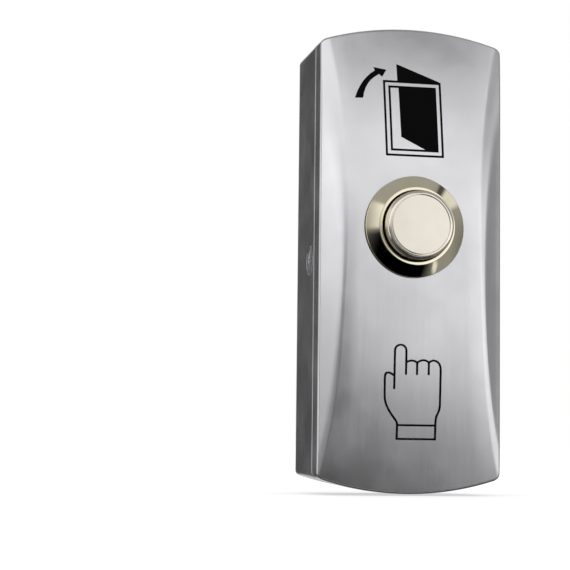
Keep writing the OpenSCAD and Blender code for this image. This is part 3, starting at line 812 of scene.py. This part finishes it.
def thread(r, h, angle):
    """Lets the barrel's radius follow a helix, which fades out at both ends."""
    if r < barrel_r - 0.01 or h > thread_top_z:
        return r
    phase = (h / THREAD_PITCH - angle / (2 * math.pi)) % 1.0
    fade = min(1.0, (thread_top_z - h) / THREAD_FADE, (h - barrel_end_z) / THREAD_FADE)
    return r - THREAD_DEPTH * abs(2 * phase - 1) * max(fade, 0.0)


def bezel_section():
    front = rounded([
        [bore_r, shoulder_z], [bore_r, bezel_top_z - ring_chamfer],
        [bore_r + ring_chamfer, bezel_top_z], [ring_r - ring_chamfer, bezel_top_z],
        [ring_r, bezel_top_z - ring_chamfer], [bezel_r, flange_z + bezel_edge],
        [bezel_r, flange_z], [barrel_r, flange_z]
    ], bezel_round)
    turns = int((flange_z - barrel_end_z) / THREAD_PITCH * STEPS_PER_PITCH)
    barrel = [[barrel_r, z] for z in np.linspace(flange_z - 0.01, barrel_end_z, turns)]
    inside = [
        [counterbore_r, barrel_end_z], [counterbore_r, snap_z], [snap_r, snap_z],
        [snap_r, base_z], [counterbore_r, base_z], [counterbore_r, shoulder_z]
    ]
    return front + barrel + inside


bezel = turned("bezel_and_barrel", bezel_section(), (0, button_y, 0), 144, shape=thread)
finish_piece(bezel, "housing", NICKEL, ["button_bezel"], sharp=40)

# %% [markdown]
# ## Cap
# The cap is turned as well. Its edge is rounded, and a fine groove runs just inside the
# rounding, where the photograph shows a thin grey line. A bevelled disc would give the edge
# but not the groove. Below it is hollow, and a flange stops it under the bezel's ring.

# %% Turn the cap
cap_top_z = front_of("button_cap")
cap_foot_z = back_of("button_cap")
cap_r, cap_round, cap_groove_w, cap_flange_r, cap_hollow_r = 6.1, 0.65, 0.2, 6.95, 5.2
cap_roof_t = 1.6
cap_hollow_z = cap_top_z - cap_roof_t
cap_groove_r = cap_r - cap_round - cap_groove_w


def cap_section():
    edge = [[cap_r - inset, cap_top_z - drop] for inset, drop in reversed(quarter(9, cap_round))]
    groove = [
        [cap_groove_r + cap_groove_w / 2, cap_top_z],
        [cap_groove_r, cap_top_z - cap_groove_w / 2],
        [cap_groove_r - cap_groove_w / 2, cap_top_z]
    ]
    below = [
        [0, cap_hollow_z], [cap_hollow_r, cap_hollow_z], [cap_hollow_r, cap_foot_z],
        [cap_flange_r, cap_foot_z], [cap_flange_r, shoulder_z], [cap_r, shoulder_z]
    ]
    return below + edge + groove + [[0, cap_top_z]]


cap = turned("cap_skin", cap_section(), (0, button_y, 0), 144)
finish_piece(cap, "push", CAP_NICKEL, ["button_cap"], sharp=28)

# %% [markdown]
# ## Screws
# The button has two pairs of screws: countersunk cross-slotted ones in the sides, and slotted
# ones that clamp the wires. Both pairs come from one Geometry Nodes tree. It builds a screw
# from a head, a shank and slot cutters, then puts it at both ends of a line, turned by its
# own angle at each end. Changing a named input turns the one kind into the other.

# %% Parts that the trees are put together from
def rod(tree, radius, tip_radius, height, foot=None, sides=64):
    """An upright cylinder, or a cone when its tip has another radius, from 0 or from foot."""
    links = [("Radius Bottom", radius), ("Radius Top", tip_radius), ("Depth", height)]
    cone = add_node(tree, "GeometryNodeMeshCone", links, Vertices=sides)
    lift = add_node(tree, "ShaderNodeCombineXYZ", [] if foot is None else [("Z", foot)])
    links = [("Geometry", cone.outputs["Mesh"]), ("Translation", lift.outputs[0])]
    return add_node(tree, "GeometryNodeTransform", links).outputs[0]


def united(tree, meshes):
    node = tree.nodes.new("GeometryNodeMeshBoolean")
    node.operation = "UNION"
    node.solver = "EXACT"
    for mesh in meshes:
        tree.links.new(mesh, node.inputs["Mesh 2"])
    return node.outputs["Mesh"]


def cut_from(tree, mesh, cutters):
    node = tree.nodes.new("GeometryNodeMeshBoolean")
    node.operation = "DIFFERENCE"
    node.solver = "EXACT"
    tree.links.new(mesh, node.inputs["Mesh 1"])
    for cutter in cutters:
        tree.links.new(cutter, node.inputs["Mesh 2"])
    return node.outputs["Mesh"]


def slot_cutter(tree, given, length):
    """A bar across the top of the head, twice as deep as its slot."""
    depth = calc(tree, "MULTIPLY", given["Slot Depth"], 2)
    links = [("X", length), ("Y", given["Slot Width"]), ("Z", depth)]
    size = add_node(tree, "ShaderNodeCombineXYZ", links)
    return add_node(tree, "GeometryNodeMeshCube", [("Size", size.outputs[0])]).outputs["Mesh"]


# %% A tree for a pair of screws
SCREW_SIZES = [
    "Head Radius", "Neck Radius", "Head Height", "Shank Radius", "Length", "Slot Width",
    "Slot Length", "Cross Length", "Slot Depth"
]
SCREW_PLACES = [(label, "NodeSocketVector") for label in ("From", "To", "From Turn", "To Turn")]


def screw_pair_tree():
    tree, given = new_geometry_tree("screw_pair", SCREW_SIZES, SCREW_PLACES)
    height, length = given["Head Height"], given["Length"]
    neck, tip = [calc(tree, "MULTIPLY", size, -1) for size in (height, length)]
    head = rod(tree, given["Neck Radius"], given["Head Radius"], height, neck)
    shank_length = calc(tree, "SUBTRACT", length, calc(tree, "MULTIPLY", height, 0.3))
    shank = rod(tree, given["Shank Radius"], given["Shank Radius"], shank_length, tip)
    slot = slot_cutter(tree, given, given["Slot Length"])
    cross = slot_cutter(tree, given, given["Cross Length"])
    cross = add_node(tree, "GeometryNodeTransform", [("Geometry", cross)])
    cross.inputs["Rotation"].default_value = (0, 0, math.pi / 2)
    screw = cut_from(tree, united(tree, [head, shank]), [slot, cross.outputs[0]])
    line = tree.nodes.new("GeometryNodeMeshLine")
    line.mode = "END_POINTS"
    line.inputs["Count"].default_value = 2
    tree.links.new(given["From"], line.inputs["Start Location"])
    tree.links.new(given["To"], line.inputs["Offset"])
    turn = tree.nodes.new("ShaderNodeMix")
    turn.data_type = "VECTOR"
    sockets = {s.name: s for s in turn.inputs if s.enabled}
    tree.links.new(tree.nodes.new("GeometryNodeInputIndex").outputs[0], sockets["Factor"])
    tree.links.new(given["From Turn"], sockets["A"])
    tree.links.new(given["To Turn"], sockets["B"])
    turned_by = next(s for s in turn.outputs if s.enabled)
    links = [("Points", line.outputs["Mesh"]), ("Instance", screw), ("Rotation", turned_by)]
    pair = add_node(tree, "GeometryNodeInstanceOnPoints", links)
    end_tree(tree, given, pair.outputs[0])
    return tree


SCREW_PAIR = screw_pair_tree()
print("the screws' tree has", len(SCREW_PAIR.nodes), "nodes")

# %% Side screws
side_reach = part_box("side_screws")[1].x
screw_past_lug = 0.4
side_screws = grow(
    empty_piece("side_screw_pair"), SCREW_PAIR,
    Head_Radius=2.7 * MM, Neck_Radius=1.45 * MM, Head_Height=1.2 * MM, Shank_Radius=1.45 * MM,
    Length=side_reach - (lug_x - lug_t - screw_past_lug) * MM,
    Slot_Width=0.6 * MM, Slot_Length=2.8 * MM, Cross_Length=2.8 * MM, Slot_Depth=0.8 * MM,
    From=(-side_reach, -side_screw_z * MM, 0.0), To=(side_reach, -side_screw_z * MM, 0.0),
    From_Turn=(0.0, -math.pi / 2, 0.0), To_Turn=(0.0, math.pi / 2, 0.0), Material=STEEL)
finish_piece(break_edges(side_screws, 0.05), "housing", STEEL, ["side_screws"])

# %% Terminal screws
terminal_low, terminal_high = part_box("terminal_screws")
terminal_x = 3.2 * MM
terminal_end = (terminal_high.y, (terminal_low.z + terminal_high.z) / 2)
terminal_screws = grow(
    empty_piece("terminal_screw_pair"), SCREW_PAIR,
    Head_Radius=2.0 * MM, Neck_Radius=2.0 * MM, Head_Height=1.4 * MM, Shank_Radius=1.1 * MM,
    Length=terminal_high.y - terminal_low.y,
    Slot_Width=0.6 * MM, Slot_Length=5.0 * MM, Cross_Length=0.5 * MM, Slot_Depth=0.6 * MM,
    From=(-terminal_x, *terminal_end), To=(terminal_x, *terminal_end),
    From_Turn=(-math.pi / 2, 0.0, 0.0), To_Turn=(-math.pi / 2, 0.0, 0.0), Material=STEEL)
finish_piece(
    break_edges(terminal_screws, 0.07), "housing", STEEL, ["terminal_screws"])

# %% [markdown]
# ## Return spring
# The spring follows a path: a helix whose first and last turn lie close, a little over one wire
# apart, so that it stands flat. The tree moves the points of a line onto that helix by their
# index and sweeps a round wire along it. A Screw modifier could wind it too, but only with one
# pitch. When the cap is pressed the spring gets shorter; this mesh keeps the length it is wound to.

# %% A tree for a coil spring with closed ends
COIL_SIZES = ["Coil Radius", "Wire Radius", "Height", "Turns", "Closed Turns"]
STEPS_PER_TURN = 40
WIRE_SIDES = 14
CLOSED_PITCH = 2.08


def coil_spring_tree():
    tree, given = new_geometry_tree("coil_spring", COIL_SIZES, [("Steps", "NodeSocketInt")])

    def c(operation, *values):
        return calc(tree, operation, *values)

    index = tree.nodes.new("GeometryNodeInputIndex").outputs[0]
    turn = c("DIVIDE", index, STEPS_PER_TURN)
    closed_pitch = c("MULTIPLY", given["Wire Radius"], CLOSED_PITCH)
    open_turns = c("SUBTRACT", given["Turns"], c("MULTIPLY", given["Closed Turns"], 2))
    closed_rise = c("MULTIPLY", c("MULTIPLY", closed_pitch, given["Closed Turns"]), 2)
    open_pitch = c("DIVIDE", c("SUBTRACT", given["Height"], closed_rise), open_turns)
    closed = c("MINIMUM", turn, given["Closed Turns"])
    top_start = c("SUBTRACT", given["Turns"], given["Closed Turns"])
    closed = c("ADD", closed, c("MAXIMUM", c("SUBTRACT", turn, top_start), 0))
    opened = c("SUBTRACT", turn, closed)
    rise = c("ADD", c("MULTIPLY", closed, closed_pitch), c("MULTIPLY", opened, open_pitch))
    angle = c("MULTIPLY", turn, 2 * math.pi)
    x = c("MULTIPLY", given["Coil Radius"], c("COSINE", angle))
    z = c("MULTIPLY", given["Coil Radius"], c("SINE", angle))
    links = [("X", x), ("Y", c("MULTIPLY", rise, -1)), ("Z", z)]
    helix = add_node(tree, "ShaderNodeCombineXYZ", links)
    count = c("ADD", given["Steps"], 1)
    line = add_node(tree, "GeometryNodeMeshLine", [("Count", count)])
    links = [("Geometry", line.outputs[0]), ("Position", helix.outputs[0])]
    path = add_node(tree, "GeometryNodeSetPosition", links)
    path = add_node(tree, "GeometryNodeMeshToCurve", [("Mesh", path.outputs[0])])
    links = [("Radius", given["Wire Radius"])]
    wire = add_node(tree, "GeometryNodeCurvePrimitiveCircle", links, Resolution=WIRE_SIDES)
    links = [("Curve", path.outputs[0]), ("Profile Curve", wire.outputs[0])]
    sweep = add_node(tree, "GeometryNodeCurveToMesh", links)
    sweep.inputs["Fill Caps"].default_value = True
    end_tree(tree, given, sweep.outputs[0])
    return tree


# %% Wind the spring
spring_low, spring_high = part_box("return_spring")
spring_length = spring_high.y - spring_low.y
wire_r, coil_r, spring_turns = 0.25, 3.6, 6.5
coil = grow(
    empty_piece("spring_coil"), coil_spring_tree(), Coil_Radius=coil_r * MM,
    Wire_Radius=wire_r * MM, Height=spring_length - 2 * wire_r * MM, Turns=spring_turns,
    Closed_Turns=0.9, Steps=int(spring_turns * STEPS_PER_TURN), Material=STEEL)
coil.data.transform(Matrix.Translation((0, spring_high.y - wire_r * MM, button_y * MM)))
face_outwards(coil.data)
finish_piece(coil, "housing", STEEL, ["return_spring"])
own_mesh(coil)

# %% [markdown]
# ## Lock washer
# The washer's notches repeat round its edge. The tree sets notch cutters on the points of a
# circle and cuts them, and the hole, out of a disc. An Array modifier turned by an empty could
# repeat them as well, but here their number is one named input.

# %% A tree for a notched washer
WASHER_SIZES = ["Outer Radius", "Hole Radius", "Notch Radius", "Thickness"]


def notched_washer_tree():
    tree, given = new_geometry_tree("notched_washer", WASHER_SIZES, [("Notches", "NodeSocketInt")])
    thickness = given["Thickness"]
    under, tall = calc(tree, "MULTIPLY", thickness, -0.5), calc(tree, "MULTIPLY", thickness, 2)
    outer, inner, small = [given[size] for size in WASHER_SIZES[:3]]
    plate = rod(tree, outer, outer, thickness, sides=96)
    hole = rod(tree, inner, inner, tall, under, 96)
    notch = rod(tree, small, small, tall, under, 24)
    links = [("Vertices", given["Notches"]), ("Radius", outer)]
    circle = add_node(tree, "GeometryNodeMeshCircle", links)
    links = [("Points", circle.outputs[0]), ("Instance", notch)]
    notches = add_node(tree, "GeometryNodeInstanceOnPoints", links)
    notches = add_node(tree, "GeometryNodeRealizeInstances", [("Geometry", notches.outputs[0])])
    end_tree(tree, given, cut_from(tree, plate, [hole, notches.outputs[0]]))
    return tree


washer_low, washer_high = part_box("lock_washer")
washer = grow(
    empty_piece("notched_lock_washer"), notched_washer_tree(), Outer_Radius=9.5 * MM,
    Hole_Radius=8.0 * MM, Notch_Radius=0.6 * MM, Thickness=washer_high.y - washer_low.y,
    Notches=16, Material=STEEL)
upright = Matrix.Rotation(math.pi / 2, 4, "X")
washer.data.transform(Matrix.Translation((0, washer_high.y, button_y * MM)) @ upright)
finish_piece(break_edges(washer, 0.04), "housing", STEEL, ["lock_washer"])

# %% [markdown]
# ## Inner pieces
# The other pieces inside keep the form they have in the frame. A frame mesh is loose
# triangles, so a copy is welded first, then its edges get a fine bevel, which shows as a thin
# line of light on stamped and moulded parts.

# %% Weld and soften the inner pieces
def welded_copy(node, name):
    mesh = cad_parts[node].data.copy()
    mesh.name = name
    work = bmesh.new()
    work.from_mesh(mesh)
    bmesh.ops.remove_doubles(work, verts=work.verts, dist=0.001 * MM)
    bmesh.ops.dissolve_limit(
        work, angle_limit=math.radians(1), verts=work.verts, edges=work.edges)
    work.to_mesh(mesh)
    work.free()
    return link_mesh(name, mesh)


INNER_PIECES = [
    ("bezel_gasket", "housing", "rubber", RUBBER, 0.06),
    ("lock_nut", "housing", "nickel", NICKEL, 0.1),
    ("plunger", "push", "black_plastic", PLASTIC, 0.06),
    ("plunger_clip", "push", "steel", STEEL, 0.04),
    ("switch_body", "housing", "black_plastic", PLASTIC, 0.06),
    ("contact_bridge", "push", "brass", BRASS, 0.04),
    ("bridge_tips", "push", "silver", SILVER, 0.05),
    ("terminal_base", "housing", "black_plastic", PLASTIC, 0.08),
    ("base_snap_ring", "housing", "steel", STEEL, 0.06),
    ("left_terminal", "housing", "brass", BRASS, 0.04),
    ("right_terminal", "housing", "brass", BRASS, 0.04),
    ("fixed_tips", "housing", "silver", SILVER, 0.03),
    ("clamp_washers", "housing", "steel", STEEL, 0.05),
]
for node, body, slot, material, bevel in INNER_PIECES:
    piece = break_edges(welded_copy(node, node + "_skin"), bevel)
    finish_piece(piece, body, material, [node])

# %% [markdown]
# ## Printed signs
# The signs are ink on the crowned face. A picture laid over the face could show them, but its
# lines would blur close by. Their solids already follow the face and have the right outline,
# so they stay as they are and only get the ink's material.

# %% Ink the signs
for node in ("door_sign", "hand_sign"):
    for material_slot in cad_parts[node].material_slots:
        material_slot.material = INK
    print(node, "is printed in ink")

# %% [markdown]
# ## Camera
# The camera stands where the photographer stood: a little to the left of the button and a
# little below it, about a third of a metre away. Its place, its turn and its lens were found by
# laying points of the cover over the same points in the photograph, because a guess by eye
# would leave the lines of the cover a little off everywhere.

# %% Place the camera
CAMERA_AT = Vector((-92.0, -330.0, -32.9)) * MM
CAMERA_RIGHT = Vector((0.97585, -0.21813, 0.01153)).normalized()
CAMERA_UP = Vector((-0.03005, -0.0818, 0.9962))
LENS_MM = 115.6


def place_camera():
    data = bpy.data.cameras.new("camera")
    camera = bpy.data.objects.new("camera", data)
    bpy.context.scene.collection.objects.link(camera)
    back = CAMERA_RIGHT.cross(CAMERA_UP).normalized()
    turn = Matrix((CAMERA_RIGHT, back.cross(CAMERA_RIGHT), back)).transposed()
    camera.matrix_world = Matrix.Translation(CAMERA_AT) @ turn.to_4x4()
    data.sensor_width = 36
    data.lens = LENS_MM
    data.clip_start = 0.01
    data.clip_end = 50
    bpy.context.scene.camera = camera


place_camera()
print("camera at", [round(c / MM, 1) for c in CAMERA_AT], "mm")

# %% [markdown]
# ## Studio
# Metal shows its surroundings, so the studio is drawn as what stands around the button: pale
# cards at the left and in front, grey walls, a window high on the right, and the dark desk and
# photographer below. Lamps and planes could stand there instead, but what a mirror shows
# depends on direction alone, so each card is a soft patch of brightness in one direction of the
# world. Only mirrored rays see the cards. Other surfaces get an even white light, and the
# camera sees plain white.

# %% The studio's cards
CARDS = [
    # name, azimuth, half width and softness, elevation, half height and softness, brightness
    ("table", 0, 400, 1, -50, 54, 25, 0.10),
    ("dark_desk", 0, 60, 8, -46, 42, 4, 0.0),
    ("ceiling", 0, 400, 1, 65, 30, 12, 0.38),
    ("room_behind", 180, 55, 12, 10, 32, 12, 0.75),
    ("gap_behind", -167, 13, 5, 5, 45, 5, 0.06),
    ("left_wall", -95, 20, 6, 8, 31, 6, 0.95),
    ("left_card", -37, 20, 9, 21, 19, 4, 1.28),
    ("front_card", -2, 31, 4, 22, 13, 4, 1.08),
    ("gap_of_cards", 18, 5, 3, 40, 20, 3, 0.15),
    ("right_card", 38, 24, 3, 0, 11, 3, 1.15),
    ("bright_edge", 31, 7, 3, 0, 12, 3, 1.32),
    ("right_wall", 78, 12, 7, 0, 50, 7, 0.31),
    ("lit_floor", 12, 17, 5, -37, 12, 5, 0.40),
    ("grey_floor_left", -20, 25, 3, -15, 18, 5, 0.28),
    ("grey_floor_right", 40, 20, 4, -22, 12, 4, 0.28),
    ("photographer", 11, 7, 2, -15, 11, 2, 0.0),
    ("window", 92, 11, 3, 34, 8, 3, 0.80),
    ("window_frame", 88, 8, 2, 46, 3, 2, 0.08),
    ("lamp", 71, 3, 1, -44, 4, 3, 0.85),
]
ROOM_LEVEL = 0.35
DAYLIGHT_LEVEL = 0.9


# %% Helpers that tell rays and directions apart and draw a soft band
def rays(tree):
    """1 for rays from the camera, and 1 for rays that a metal mirrors or a glass lets through."""
    ray = tree.nodes.new("ShaderNodeLightPath").outputs
    mirrored = calc(tree, "MAXIMUM", ray["Is Glossy Ray"], ray["Is Transmission Ray"])
    return ray["Is Camera Ray"], mirrored


def direction_angles(tree):
    """Azimuth and elevation of the direction that is looked in, in degrees."""
    place = tree.nodes.new("ShaderNodeTexCoord").outputs["Generated"]
    split = add_node(tree, "ShaderNodeSeparateXYZ", [("Vector", place)]).outputs
    azimuth = calc(tree, "ARCTAN2", split["X"], calc(tree, "MULTIPLY", split["Y"], -1))
    elevation = calc(tree, "ARCSINE", split["Z"])
    return [calc(tree, "DEGREES", angle) for angle in (azimuth, elevation)]


def band(tree, angle, centre, half, soft, wraps=False):
    """1 within half of the centre angle, falling softly to 0 outside it."""
    away = calc(tree, "SUBTRACT", angle, centre)
    if wraps:
        away = calc(tree, "MODULO", calc(tree, "ADD", away, 540), 360)
        away = calc(tree, "SUBTRACT", away, 180)
    fall = add_node(
        tree, "ShaderNodeMapRange", [("Value", calc(tree, "ABSOLUTE", away))],
        From_Min=half - soft, From_Max=half + soft, To_Min=1, To_Max=0)
    fall.interpolation_type = "SMOOTHSTEP"
    return fall.outputs["Result"]


# %% Light the studio
def light_studio():
    world = bpy.data.worlds.new("studio")
    bpy.context.scene.world = world
    world.use_nodes = True
    world.cycles.sampling_method = "NONE"
    tree = world.node_tree
    tree.nodes.clear()
    azimuth, elevation = direction_angles(tree)
    level = ROOM_LEVEL
    for _, at, half_width, side_soft, height, half_height, soft, brightness in CARDS:
        across = band(tree, azimuth, at, half_width, side_soft, wraps=True)
        upwards = band(tree, elevation, height, half_height, soft)
        level = mixed(tree, calc(tree, "MULTIPLY", across, upwards), level, brightness)
    seen, mirrored = rays(tree)
    level = mixed(tree, mirrored, DAYLIGHT_LEVEL, level)
    level = mixed(tree, seen, level, 1.0)
    background = add_node(tree, "ShaderNodeBackground", [("Color", level)])
    add_node(tree, "ShaderNodeOutputWorld", [("Surface", background.outputs[0])])


light_studio()
bpy.context.scene.view_settings.view_transform = "Standard"
print("studio with", len(CARDS), "cards")

# %% [markdown]
# ## Floor
# A pale floor under the button takes its soft shadow. It adds a little light of its own towards
# the camera, so that it melts into the white behind it while the shadow stays visible. Brighter
# lamps would whiten it too, but would also wash out the button. The metal shows the studio's
# dark desk below it, as in the photograph, so this floor is hidden from what it mirrors.

# %% Lay the floor
FLOOR_DROP = 0.3
FLOOR_REACH = 6.0
FLOOR_SHADE = 0.6
FLOOR_GLOW = 0.55


def lay_floor():
    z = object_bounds()[0].z - FLOOR_DROP * MM
    around = ((-1, -1), (1, -1), (1, 1), (-1, 1))
    corners = [(x * FLOOR_REACH, y * FLOOR_REACH, z) for x, y in around]
    mesh = bpy.data.meshes.new("floor")
    mesh.from_pydata(corners, [], [[0, 1, 2, 3]])
    floor = link_mesh("floor", mesh)
    material, tree, _ = new_material("pale_floor")
    tree.nodes.clear()
    diffuse = add_node(tree, "ShaderNodeBsdfDiffuse", Color=(*[FLOOR_SHADE] * 3, 1))
    strength = calc(tree, "MULTIPLY", calc(tree, "MAXIMUM", *rays(tree)), FLOOR_GLOW)
    glow = add_node(tree, "ShaderNodeEmission", [("Strength", strength)], Color=(1, 1, 1, 1))
    both = add_node(tree, "ShaderNodeAddShader", [(0, diffuse.outputs[0]), (1, glow.outputs[0])])
    add_node(tree, "ShaderNodeOutputMaterial", [("Surface", both.outputs[0])])
    mesh.materials.append(material)
    floor.visible_glossy = False


lay_floor()
